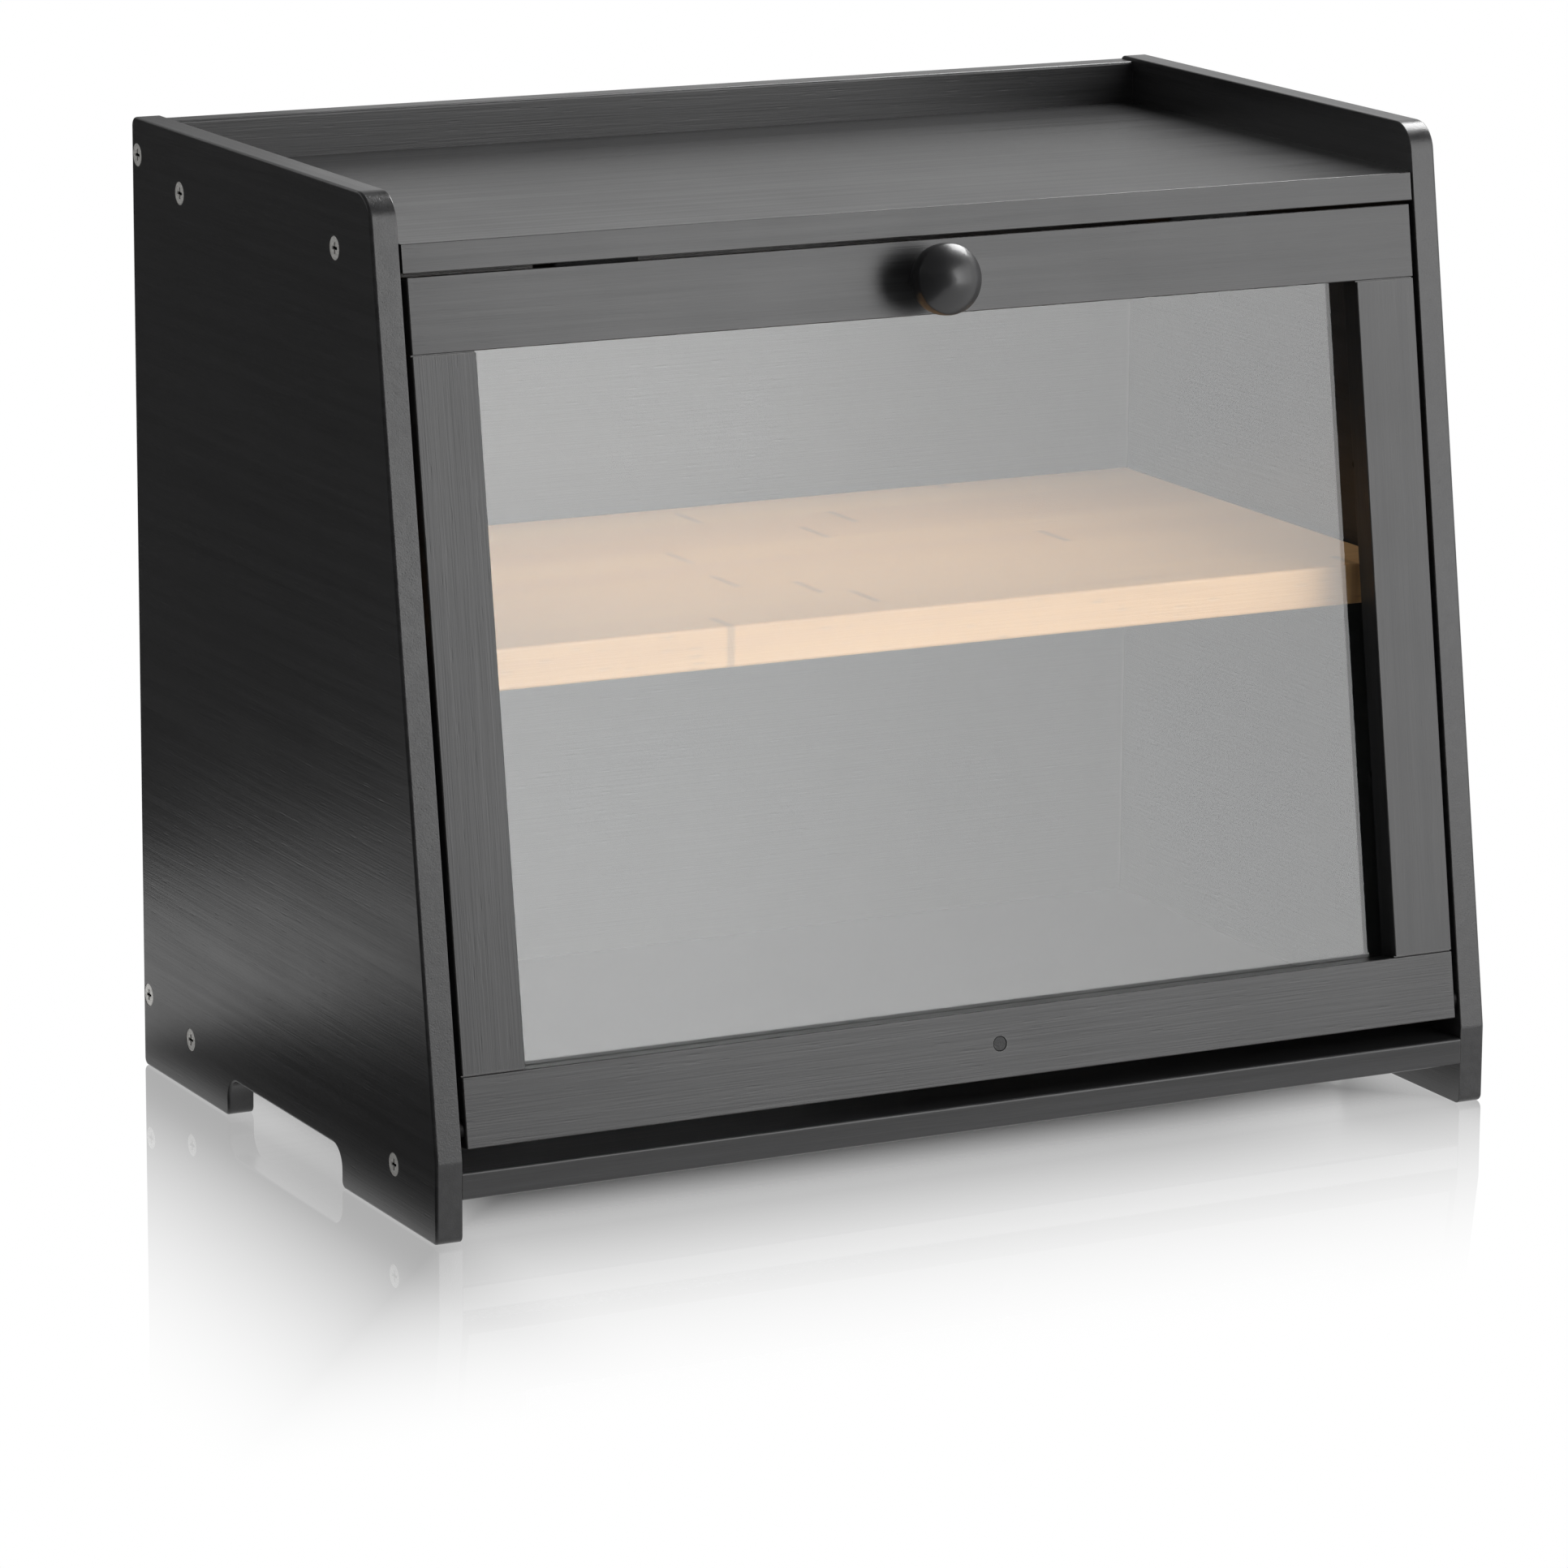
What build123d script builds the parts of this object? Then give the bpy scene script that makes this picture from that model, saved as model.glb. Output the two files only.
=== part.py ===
"""Countertop bread box: a black bamboo cabinet, a leaning drop-down door with a clear window, and one shelf.

Sizes are in millimetres. The origin is on the worktop, at the middle of the footprint.
+X runs to the right as seen from the front, +Y to the back and +Z up.
"""

from build123d import *
from math import cos, radians, sin, tan
import os

# Cabinet boards
overall_width = 380.0
overall_depth = 236.0
overall_height = 320.0
side_thickness = 9.0
top_thickness = 9.0
bottom_thickness = 9.0
back_thickness = 9.0
lean_angle = 9.0  # how far the front leans back from upright, in degrees
foot_front_height = 26.0  # upright stretch of the side panel's front edge
worktop_clearance = 13.6  # worktop to the underside of the bottom panel
tray_depth = 15.5  # how far the side panels stand up over the top panel
back_drop = 1.2  # how far the back panel stops short of the side panels' tops
panel_edge_round = 1.0  # outer edges of the cabinet
board_edge_round = 0.35  # edges inside it and round the door
end_groove_width = 0.8  # fine groove where the top panel's front edge meets a side panel
end_groove_depth = 3.0
front_top_radius = 10.0
back_top_radius = 3.0
front_break_radius = 6.0

# Feet, left by a cut-out under each side panel
notch_width = 91.4
notch_height = 13.0
notch_radius = 7.0
foot_corner_radius = 2.5

# Screws that hold the cabinet together, driven through the side panels
side_screw_head = 7.5
side_screw_shank = 4.0
side_screw_length = 34.0
top_screw_front_inset = 29.0
top_screw_back_inset = 31.0
bottom_screw_front_inset = 32.0
bottom_screw_back_inset = 31.5
back_screw_top_inset = 11.0
back_screw_bottom_inset = 11.3

# What all the screws share
head_sink = 0.15  # how far a countersunk head lies under the surface
head_rim = 0.3  # straight edge of a countersunk head
head_clearance = 0.05  # radial, round a countersunk head
screw_clearance = 0.25  # radial, where a shank only passes through
pilot_spare = 1.0  # empty pilot hole past a screw's tip
recess_depth_share = 0.6  # how much of the head's height its cross recess takes
recess_width_share = 0.5
recess_arm_share = 0.13

# Shelf and the pins that carry it
shelf_thickness = 13.5
shelf_height = 139.6  # bottom panel's top face to the shelf's underside
shelf_side_gap = 1.0
shelf_back_gap = 1.0
shelf_front_gap = 9.5  # level gap from the window's back face to the shelf's top front edge
shelf_edge_round = 1.0
shelf_pin_diameter = 5.0
shelf_pin_reach = 8.0
shelf_pin_depth = 6.0
shelf_pin_front_inset = 26.0
shelf_pin_back_inset = 28.0
shelf_seat_gap = 0.05
pin_end_chamfer = 0.6
bore_end_gap = 0.5

# Door frame
door_thickness = 9.0
door_side_gap = 1.9
door_top_gap = 1.1
door_bottom_gap = 7.1  # bottom panel's top face to the door's front lower edge
top_rail_height = 23.7
bottom_rail_height = 22.3
stile_width = 21.5
joint_groove_width = 0.45  # fine groove where a stile meets a rail
joint_groove_depth = 1.2
dowel_diameter = 5.0
dowel_length = 20.0
dowel_spacing = 11.0
dowel_glue_gap = 0.5
plug_diameter = 5.0
plug_length = 4.0
plug_sink = 0.15
plug_offset = 8.6  # the plug lies this far right of the middle
plug_chamfer = 0.3

# Hinge pins at the door's lower corners
hinge_pin_diameter = 4.0
hinge_pin_height = 6.0  # hinge axis over the door's lower edge
hinge_pin_door_depth = 12.0
hinge_pin_side_depth = 6.0
hinge_clearance = 0.08  # radial, in the side panel's bore
collar_diameter = 7.0
collar_length = 1.5

# Window
pane_thickness = 2.0
pane_overlap = 7.0
pane_screw_head = 5.0
pane_screw_head_height = 1.5
pane_screw_shank = 2.4
pane_screw_length = 6.5
pane_screw_spacing = 120.0  # along the rails
pane_screw_row_inset = 60.0  # along the stiles, from the window's corners

# Knob and the screw that holds it
knob_base_diameter = 13.0
knob_neck_diameter = 9.5
knob_neck_height = 5.0
knob_diameter = 22.8
knob_rim_back = 9.5
knob_rim_front = 15.1
knob_height = 20.7
knob_drop = 0.8  # the knob lies this far below the top rail's middle
knob_rim_round = 1.2
knob_rim_swell = 0.25
knob_foot_hollow = 0.4
knob_under_swell = 1.0
knob_dome_swell = 1.3
knob_screw_diameter = 4.0
knob_screw_head = 7.6
knob_screw_head_height = 2.4
knob_screw_reach = 11.0

# Magnetic catches under the top panel
catch_offset = 110.0  # each catch lies this far from the middle
catch_width = 30.0
catch_depth = 15.0
catch_height = 14.0
catch_corner_radius = 1.5
catch_air_gap = 0.2
pole_stand_out = 0.4
pole_thickness = 1.2
pole_width = 18.0
pole_depth = 9.0
pole_floor = 2.0  # housing left under the lower pole plate
magnet_thickness = 4.8
magnet_inset = 0.8
catch_screw_spacing = 20.0
catch_screw_back_inset = 4.0
catch_screw_head = 5.6
catch_screw_head_height = 1.8
catch_screw_shank = 3.0
catch_screw_bite = 7.0
catch_counterbore = 5.0

# Strike plates on the door's back
strike_width = 24.0
strike_height = 10.4
strike_thickness = 1.2
strike_corner_radius = 1.0
strike_screw_head = 4.6
strike_screw_shank = 2.6
strike_screw_length = 7.0

# Places worked out from the sizes above
lean = radians(lean_angle)
half_width = overall_width / 2
half_depth = overall_depth / 2
inner_half_width = half_width - side_thickness
back_face = half_depth - back_thickness
bottom_top = worktop_clearance + bottom_thickness
tray_floor = overall_height - tray_depth
top_underside = tray_floor - top_thickness
back_top = overall_height - back_drop
shelf_underside = bottom_top + shelf_height
shelf_top = shelf_underside + shelf_thickness
door_half_width = inner_half_width - door_side_gap


def front_y(height, depth=0.0):
    """Y of the plane that lies depth behind the leaning front, at a height."""
    return -half_depth + (height - foot_front_height) * tan(lean) + depth / cos(lean)


def up_front(height, depth=0.0):
    """Distance along the leaning front to a height, measured depth behind it."""
    return (height - foot_front_height + depth * sin(lean)) / cos(lean)


# The door is drawn flat: X across, Y up along the front, and Z out of its front face
door_plane = Plane(
    origin=(0, -half_depth, foot_front_height),
    x_dir=(1, 0, 0),
    z_dir=(0, -cos(lean), sin(lean)),
)
door_low = up_front(bottom_top + door_bottom_gap)
door_high = up_front(top_underside) - door_top_gap
window_low = door_low + bottom_rail_height
window_high = door_high - top_rail_height
window_half_width = door_half_width - stile_width
stile_middle = door_half_width - stile_width / 2
knob_up = door_high - top_rail_height / 2 - knob_drop
bottom_rail_middle = door_low + bottom_rail_height / 2
hinge_up = door_low + hinge_pin_height
hinge_point = door_plane.from_local_coords((0, hinge_up, -door_thickness / 2))
pane_back = door_thickness + pane_thickness
shelf_front = front_y(shelf_top, pane_back) + shelf_front_gap

# Catch places: depths are measured from the door's front face
strike_back = door_thickness + strike_thickness
pole_front = strike_back + catch_air_gap
catch_front = pole_front + pole_stand_out
catch_low = top_underside - catch_height
pole_low = catch_low + pole_floor
magnet_low = pole_low + pole_thickness
magnet_high = magnet_low + magnet_thickness
pole_high = magnet_high + pole_thickness
catch_back = front_y(top_underside, catch_front) + catch_depth
pole_back = front_y(pole_low, pole_front) + pole_depth
strike_middle = up_front((magnet_low + magnet_high) / 2, strike_back)

# Screw and pin places on a side panel, as (y, z)
top_middle = top_underside + top_thickness / 2
bottom_middle = worktop_clearance + bottom_thickness / 2
back_middle = half_depth - back_thickness / 2
shelf_pin_z = shelf_underside - shelf_seat_gap - shelf_pin_diameter / 2
top_screw_places = [
    (front_y(top_middle) + top_screw_front_inset, top_middle),
    (back_face - top_screw_back_inset, top_middle),
]
bottom_screw_places = [
    (-half_depth + bottom_screw_front_inset, bottom_middle),
    (back_face - bottom_screw_back_inset, bottom_middle),
]
back_screw_places = [
    (back_middle, back_top - back_screw_top_inset),
    (back_middle, worktop_clearance + back_screw_bottom_inset),
]
shelf_pin_places = [
    (shelf_front + shelf_pin_front_inset, shelf_pin_z),
    (back_face - shelf_pin_back_inset, shelf_pin_z),
]

FRONT = (Axis.Y, 0)
BACK = (Axis.Y, -1)
LEFT = (Axis.X, 0)
RIGHT = (Axis.X, -1)
UNDER = (Axis.Z, 0)


# General helpers
def on_door(shape):
    """Stands a shape that was drawn flat up in the door's place."""
    return door_plane.location * shape


def flip(shape):
    """Turns a shape over, so that what pointed along +Z points along -Z."""
    return Rot(180, 0, 0) * shape


def mirrored(shape):
    """The same shape on the other side of the middle."""
    return mirror(shape, about=Plane.YZ)


def rod(radius, length, chamfer_size=0.0):
    """Round bar centred on the origin, along Z."""
    bar = Cylinder(radius, length)
    return chamfer(bar.edges(), chamfer_size) if chamfer_size else bar


def rod_across(radius, start, end, y, z, chamfer_size=0.0):
    """Round bar along X between two places."""
    bar = rod(radius, abs(end - start), chamfer_size)
    return Pos((start + end) / 2, y, z) * Rot(0, 90, 0) * bar


def drilling(radius, depth):
    """Cutter from the origin down along -Z."""
    return Pos(0, 0, -depth / 2) * Cylinder(radius, depth)


def board(x, y, z, rounding, sharp=()):
    """A board between three pairs of limits. The edges of its sharp faces aren't rounded."""
    middle = Pos(sum(x) / 2, sum(y) / 2, sum(z) / 2)
    solid = middle * Box(x[1] - x[0], y[1] - y[0], z[1] - z[0])
    kept = [edge for axis, place in sharp for edge in solid.faces().sort_by(axis)[place].edges()]
    return fillet([edge for edge in solid.edges() if edge not in kept], rounding)


def edges_not_along(shape, *axes):
    """The edges of a shape that run along none of these axes."""
    along = [edge for axis in axes for edge in shape.edges().filter_by(axis)]
    return [edge for edge in shape.edges() if edge not in along]


def leaning_block(low, high, front_depth, back, width):
    """Block between two heights. Its front follows the door at a depth, and its back is upright."""
    points = [
        (front_y(low, front_depth), low),
        (front_y(high, front_depth), high),
        (back, high),
        (back, low),
    ]
    face = make_face(Polyline(*points, close=True))
    return extrude(Plane.YZ * face, amount=width / 2, both=True)


# Screws and their holes: heads at Z 0, tips towards -Z
def cross_recess(head, depth):
    """Cutter for the cross in a head whose top is at Z 0."""
    arm = Box(head * recess_width_share, head * recess_arm_share, 2 * depth)
    return arm + Rot(0, 0, 90) * arm


def countersunk_screw(head, shank, length):
    """Screw whose flat head ends at Z 0."""
    cone_end = head_rim + (head - shank) / 2
    outline = Polyline(
        (0, 0),
        (head / 2, 0),
        (head / 2, -head_rim),
        (shank / 2, -cone_end),
        (shank / 2, -length + shank),
        (0, -length),
        close=True,
    )
    screw = revolve(Plane.XZ * make_face(outline), Axis.Z)
    return Pos(0, 0, -head_sink) * (screw - cross_recess(head, cone_end * recess_depth_share))


def countersunk_hole(head, shank, length, loose_depth):
    """Cutter for that screw: a countersink, a loose hole down to loose_depth, then a pilot hole."""
    loose = shank / 2 + screw_clearance
    wide = head / 2 + head_clearance
    rim = head_rim + head_sink
    cone_end = rim + wide - loose
    head_end = rim + (head - shank) / 2 + head_clearance
    outline = Polyline((0, 0), (wide, 0), (wide, -rim), (loose, -cone_end), (0, -cone_end), close=True)
    sink = revolve(Plane.XZ * make_face(outline), Axis.Z)
    pilot = drilling(shank / 2, length + head_sink + pilot_spare)
    return sink + drilling(loose, max(loose_depth, head_end)) + pilot


def pan_screw(head, head_height, shank, length):
    """Screw whose domed head stands on Z 0."""
    dome = Pos(0, 0, head_height / 2) * Cylinder(head / 2, head_height)
    dome = fillet(dome.edges().group_by(Axis.Z)[-1], head_height * recess_depth_share)
    stem = drilling(shank / 2, length)
    stem = chamfer(stem.edges().group_by(Axis.Z)[0], shank / 4)
    return dome + stem - Pos(0, 0, head_height) * cross_recess(head, head_height * recess_depth_share)


# Cabinet
def on_both_sides(shape, places):
    """Copies of a shape on the side panels' outer faces, its +Z pointing out of the cabinet."""
    left = [Pos(-half_width, y, z) * Rot(0, -90, 0) * shape for y, z in places]
    return left + [mirrored(copy) for copy in left]


def side_screws(places):
    """The screws through both side panels at these places."""
    return on_both_sides(countersunk_screw(side_screw_head, side_screw_shank, side_screw_length), places)


def side_screw_holes(places):
    """Cutters for those screws, in the side panels and the board between them."""
    hole = countersunk_hole(side_screw_head, side_screw_shank, side_screw_length, side_thickness)
    return on_both_sides(hole, places)


def side_outline():
    """Side panel's outline in the YZ plane: an upright toe, the leaning front, and two feet."""
    half_notch = notch_width / 2
    notch_corner = min(notch_radius, notch_height - foot_corner_radius)
    corners = [
        ((-half_depth, 0), foot_corner_radius),
        ((-half_depth, foot_front_height), front_break_radius),
        ((front_y(overall_height), overall_height), front_top_radius),
        ((half_depth, overall_height), back_top_radius),
        ((half_depth, 0), foot_corner_radius),
        ((half_notch, 0), foot_corner_radius),
        ((half_notch, notch_height), notch_corner),
        ((-half_notch, notch_height), notch_corner),
        ((-half_notch, 0), foot_corner_radius),
    ]
    face = make_face(Polyline(*[point for point, radius in corners], close=True))
    for (y, z), radius in corners:
        face = fillet(face.vertices().sort_by_distance((y, z, 0))[0], radius)
    return face


def build_left_side():
    """Left side panel, drilled for the cabinet's screws, the shelf pins and the hinge pin."""
    panel = Pos(-half_width, 0, 0) * extrude(Plane.YZ * side_outline(), amount=side_thickness)
    panel = fillet(panel.faces().sort_by(Axis.X)[0].edges(), panel_edge_round)
    panel = fillet(panel.faces().sort_by(Axis.X)[-1].edges(), board_edge_round)
    panel -= side_screw_holes(top_screw_places + bottom_screw_places + back_screw_places)
    pin_end = -inner_half_width - shelf_pin_depth - bore_end_gap
    for y, z in shelf_pin_places:
        panel -= rod_across(shelf_pin_diameter / 2, -inner_half_width, pin_end, y, z)
    hinge_end = -inner_half_width - hinge_pin_side_depth - bore_end_gap
    hinge_radius = hinge_pin_diameter / 2 + hinge_clearance
    return panel - rod_across(
        hinge_radius, -inner_half_width, hinge_end, hinge_point.Y, hinge_point.Z
    )


def build_top_panel():
    """Top panel: its front edge leans with the door, and its ends butt against the sides."""
    panel = leaning_block(top_underside, tray_floor, 0, back_face, 2 * inner_half_width)
    front_edges = panel.faces().sort_by(Axis.Y)[0].edges().filter_by(Axis.X)
    panel = fillet(front_edges, board_edge_round)
    panel -= side_screw_holes(top_screw_places)
    for x, y in catch_screw_places():
        pilot = flip(drilling(catch_screw_shank / 2, catch_screw_bite + bore_end_gap))
        panel -= Pos(x, y, top_underside) * pilot
    groove = Box(2 * end_groove_width, 2 * top_thickness, 2 * end_groove_depth)
    for end in (-inner_half_width, inner_half_width):
        panel -= on_door(Pos(end, up_front(top_middle), 0) * groove)
    return panel


def build_bottom_panel():
    """Bottom panel, between the sides, its front edge upright over the feet."""
    panel = board(
        (-inner_half_width, inner_half_width),
        (-half_depth, back_face),
        (worktop_clearance, bottom_top),
        panel_edge_round,
        (BACK, LEFT, RIGHT),
    )
    return panel - side_screw_holes(bottom_screw_places)


def build_back_panel():
    """Back panel, from the bottom panel's underside up to the rail behind the top tray."""
    panel = board(
        (-inner_half_width, inner_half_width),
        (back_face, half_depth),
        (worktop_clearance, back_top),
        panel_edge_round,
        (LEFT, RIGHT, UNDER),
    )
    return panel - side_screw_holes(back_screw_places)


# Shelf
def build_shelf():
    """Plain board that lies on the four pins."""
    return board(
        (-inner_half_width + shelf_side_gap, inner_half_width - shelf_side_gap),
        (shelf_front, back_face - shelf_back_gap),
        (shelf_underside, shelf_top),
        shelf_edge_round,
    )


def build_left_shelf_pins():
    """Straight steel pins in the left side panel."""
    start = -inner_half_width - shelf_pin_depth
    end = -inner_half_width + shelf_pin_reach
    radius = shelf_pin_diameter / 2
    return [rod_across(radius, start, end, y, z, pin_end_chamfer) for y, z in shelf_pin_places]


# Door frame, drawn flat
def dowel_places():
    """Middles of the dowels that join the stiles to the rails."""
    offsets = (-dowel_spacing / 2, dowel_spacing / 2)
    across = [side * stile_middle + offset for side in (-1, 1) for offset in offsets]
    return [(x, y) for x in across for y in (window_low, window_high)]


def build_dowels():
    """Dowels, upright in the middle of the frame's thickness."""
    dowel = Rot(90, 0, 0) * rod(dowel_diameter / 2, dowel_length, pin_end_chamfer)
    return [Pos(x, y, -door_thickness / 2) * dowel for x, y in dowel_places()]


def pane_screw_places():
    """Places of the window's screws, halfway along its overlap on the frame."""
    margin = pane_overlap / 2
    rows = (window_low - margin, window_high + margin)
    columns = (-window_half_width - margin, window_half_width + margin)
    heights = (window_low + pane_screw_row_inset, window_high - pane_screw_row_inset)
    on_rails = [(step * pane_screw_spacing, y) for step in (-1, 0, 1) for y in rows]
    return on_rails + [(x, y) for x in columns for y in heights]


def frame_bar(x, y):
    """One bar of the door frame, its front face at Z 0, drilled for dowels and window screws."""
    bar = board(sorted(x), y, (-door_thickness, 0), board_edge_round)
    hole = Rot(90, 0, 0) * rod(dowel_diameter / 2, dowel_length + 2 * dowel_glue_gap)
    bar -= [Pos(px, py, -door_thickness / 2) * hole for px, py in dowel_places()]
    pilot = flip(drilling(pane_screw_shank / 2, pane_screw_length - pane_thickness + bore_end_gap))
    return bar - [Pos(px, py, -door_thickness) * pilot for px, py in pane_screw_places()]


def build_top_rail():
    """Top rail, drilled for the knob's screw and both strike plates."""
    rail = frame_bar((-door_half_width, door_half_width), (window_high, door_high))
    knob_hole = drilling(knob_screw_diameter / 2 + screw_clearance, door_thickness)
    rail -= Pos(0, knob_up, 0) * knob_hole
    return rail - [Pos(side * catch_offset, 0, 0) * strike_hole() for side in (-1, 1)]


def build_bottom_rail():
    """Bottom rail, bored for the hinge pins, with a plugged hole in its front."""
    rail = frame_bar((-door_half_width, door_half_width), (door_low, window_low))
    bore_end = door_half_width - hinge_pin_door_depth
    bore = rod_across(
        hinge_pin_diameter / 2, bore_end, door_half_width, hinge_up, -door_thickness / 2
    )
    rail -= [bore, mirrored(bore)]
    pocket = drilling(plug_diameter / 2, plug_length + plug_sink)
    return rail - Pos(plug_offset, bottom_rail_middle, 0) * pocket


def build_stile(side):
    """Left stile for side -1, right stile for side 1, grooved where it meets the rails."""
    stile = frame_bar((side * window_half_width, side * door_half_width), (window_low, window_high))
    groove = Box(2 * stile_width, 2 * joint_groove_width, 2 * joint_groove_depth)
    return stile - [Pos(side * stile_middle, y, 0) * groove for y in (window_low, window_high)]


def build_plug():
    """Round filler plug in the bottom rail."""
    plug = drilling(plug_diameter / 2, plug_length)
    plug = chamfer(plug.edges().group_by(Axis.Z)[-1], plug_chamfer)
    return Pos(plug_offset, bottom_rail_middle, -plug_sink) * plug


def build_left_hinge_pin():
    """Left hinge pin. Its collar keeps the door off the side panel."""
    inner = -door_half_width + hinge_pin_door_depth
    outer = -inner_half_width - hinge_pin_side_depth
    place = (hinge_point.Y, hinge_point.Z)
    pin = rod_across(hinge_pin_diameter / 2, inner, outer, *place, pin_end_chamfer)
    collar_end = -door_half_width - collar_length
    return pin + rod_across(collar_diameter / 2, -door_half_width, collar_end, *place)


# Window, drawn flat
def build_pane():
    """Clear sheet on the back of the frame, with loose holes for its screws."""
    width = 2 * (window_half_width + pane_overlap)
    height = window_high - window_low + 2 * pane_overlap
    sheet = Pos(0, (window_low + window_high) / 2, -door_thickness - pane_thickness / 2) * Box(
        width, height, pane_thickness
    )
    hole = drilling(pane_screw_shank / 2 + screw_clearance, pane_back)
    return sheet - [Pos(x, y, 0) * hole for x, y in pane_screw_places()]


def build_pane_screws():
    """The window's screws, driven from the door's back."""
    screw = flip(
        pan_screw(pane_screw_head, pane_screw_head_height, pane_screw_shank, pane_screw_length)
    )
    return [Pos(x, y, -pane_back) * screw for x, y in pane_screw_places()]


# Knob, drawn flat
def arc_through(start, end, swell):
    """Arc between two points that bulges by swell to the right of its way."""
    chord = Vector(*end) - Vector(*start)
    across = Vector(chord.Y, -chord.X).normalized() * swell
    middle = (Vector(*start) + Vector(*end)) / 2 + across
    return ThreePointArc(start, middle, end)


def build_knob():
    """Turned knob: a waisted foot, a thick rounded rim and a domed face, bored for its screw."""
    rim_radius = knob_diameter / 2 - knob_rim_swell
    foot = (knob_base_diameter / 2, 0)
    neck = (knob_neck_diameter / 2, knob_neck_height)
    rim_back = (rim_radius, knob_rim_back)
    rim_front = (rim_radius, knob_rim_front)
    outline = [
        Line((0, 0), foot),
        arc_through(foot, neck, -knob_foot_hollow),
        arc_through(neck, rim_back, knob_under_swell),
        arc_through(rim_back, rim_front, knob_rim_swell),
        arc_through(rim_front, (0, knob_height), knob_dome_swell),
        Line((0, knob_height), (0, 0)),
    ]
    knob = revolve(Plane.XZ * make_face(outline), Axis.Z)
    circles = knob.edges().filter_by(GeomType.CIRCLE).filter_by(Plane.XY)
    rims = [edge for edge in circles if edge.radius > rim_radius - knob_rim_swell]
    knob = fillet(rims, knob_rim_round)
    knob -= flip(drilling(knob_screw_diameter / 2, knob_screw_reach + bore_end_gap))
    return Pos(0, knob_up, 0) * knob


def build_knob_screw():
    """Screw from the door's back into the knob."""
    length = door_thickness + knob_screw_reach
    screw = pan_screw(knob_screw_head, knob_screw_head_height, knob_screw_diameter, length)
    return Pos(0, knob_up, -door_thickness) * flip(screw)


# Magnetic catches, drawn in the middle of the cabinet
def catch_screw_places():
    """Catch screws as (x, y), two to each catch."""
    y = catch_back - catch_screw_back_inset
    steps = (-catch_screw_spacing / 2, catch_screw_spacing / 2)
    return [(side * catch_offset + step, y) for side in (-1, 1) for step in steps]


def build_catch_housing(side):
    """Plastic catch housing: a pocket for the magnet and its pole plates, and two screw holes."""
    block = leaning_block(catch_low, top_underside, catch_front, catch_back, catch_width)
    block = fillet(edges_not_along(block, Axis.X, Axis.Y), catch_corner_radius)
    block -= leaning_block(pole_low, pole_high, pole_front - pole_stand_out, pole_back, pole_width)
    block = Pos(side * catch_offset, 0, 0) * block
    through = drilling(catch_screw_shank / 2 + screw_clearance, catch_height)
    counterbore = drilling(catch_screw_head / 2 + screw_clearance, catch_counterbore)
    for x, y in catch_screw_places():
        block -= Pos(x, y, catch_low) * flip(through + counterbore)
    return block


def build_magnet():
    """Flat magnet between the pole plates, set back from their ends."""
    return leaning_block(magnet_low, magnet_high, pole_front + magnet_inset, pole_back, pole_width)


def build_pole_plates():
    """Two steel plates that carry the magnet's pull to the strike plate."""
    lower = leaning_block(pole_low, magnet_low, pole_front, pole_back, pole_width)
    upper = leaning_block(magnet_high, pole_high, pole_front, pole_back, pole_width)
    return [lower, upper]


def build_catch_screws():
    """Screws up through the catch housings into the top panel."""
    length = catch_height - catch_counterbore + catch_screw_bite
    screw = pan_screw(catch_screw_head, catch_screw_head_height, catch_screw_shank, length)
    return [Pos(x, y, catch_low + catch_counterbore) * flip(screw) for x, y in catch_screw_places()]


def strike_hole():
    """Cutter for a strike plate's screw, from the plate's outer face."""
    hole = countersunk_hole(
        strike_screw_head, strike_screw_shank, strike_screw_length, strike_thickness
    )
    return Pos(0, strike_middle, -strike_back) * flip(hole)


def build_strike_plate():
    """Steel plate on the door's back that the catch pulls on."""
    plate = Pos(0, strike_middle, -door_thickness - strike_thickness / 2) * Box(
        strike_width, strike_height, strike_thickness
    )
    plate = fillet(plate.edges().filter_by(Axis.Z), strike_corner_radius)
    return plate - strike_hole()


def build_strike_screw():
    """Countersunk screw of a strike plate."""
    screw = countersunk_screw(strike_screw_head, strike_screw_shank, strike_screw_length)
    return Pos(0, strike_middle, -strike_back) * flip(screw)


def save(node, shapes):
    """Writes one node: a single shape, or a list of separate ones."""
    shapes = shapes if isinstance(shapes, list) else [shapes]
    solids = [solid for shape in shapes for solid in shape.solids()]
    whole = solids[0] if len(solids) == 1 else Compound(solids)
    export_step(whole, f"parts/{node}.step")


def save_cabinet():
    left_side = build_left_side()
    save("left_side_panel", left_side)
    save("right_side_panel", mirrored(left_side))
    save("top_panel", build_top_panel())
    save("bottom_panel", build_bottom_panel())
    save("back_panel", build_back_panel())
    save("top_panel_screws", side_screws(top_screw_places))
    save("bottom_panel_screws", side_screws(bottom_screw_places))
    save("back_panel_screws", side_screws(back_screw_places))


def save_shelf():
    left_pins = build_left_shelf_pins()
    save("shelf", build_shelf())
    save("left_shelf_pins", left_pins)
    save("right_shelf_pins", [mirrored(pin) for pin in left_pins])


def save_door():
    left_pin = build_left_hinge_pin()
    save("left_hinge_pin", left_pin)
    save("right_hinge_pin", mirrored(left_pin))
    flat_pieces = {
        "door_top_rail": build_top_rail(),
        "door_bottom_rail": build_bottom_rail(),
        "door_left_stile": build_stile(-1),
        "door_right_stile": build_stile(1),
        "bottom_rail_plug": build_plug(),
        "window_pane": build_pane(),
        "knob": build_knob(),
        "knob_screw": build_knob_screw(),
    }
    for node, piece in flat_pieces.items():
        save(node, on_door(piece))
    save("door_frame_dowels", [on_door(dowel) for dowel in build_dowels()])
    save("window_screws", [on_door(screw) for screw in build_pane_screws()])


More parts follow.
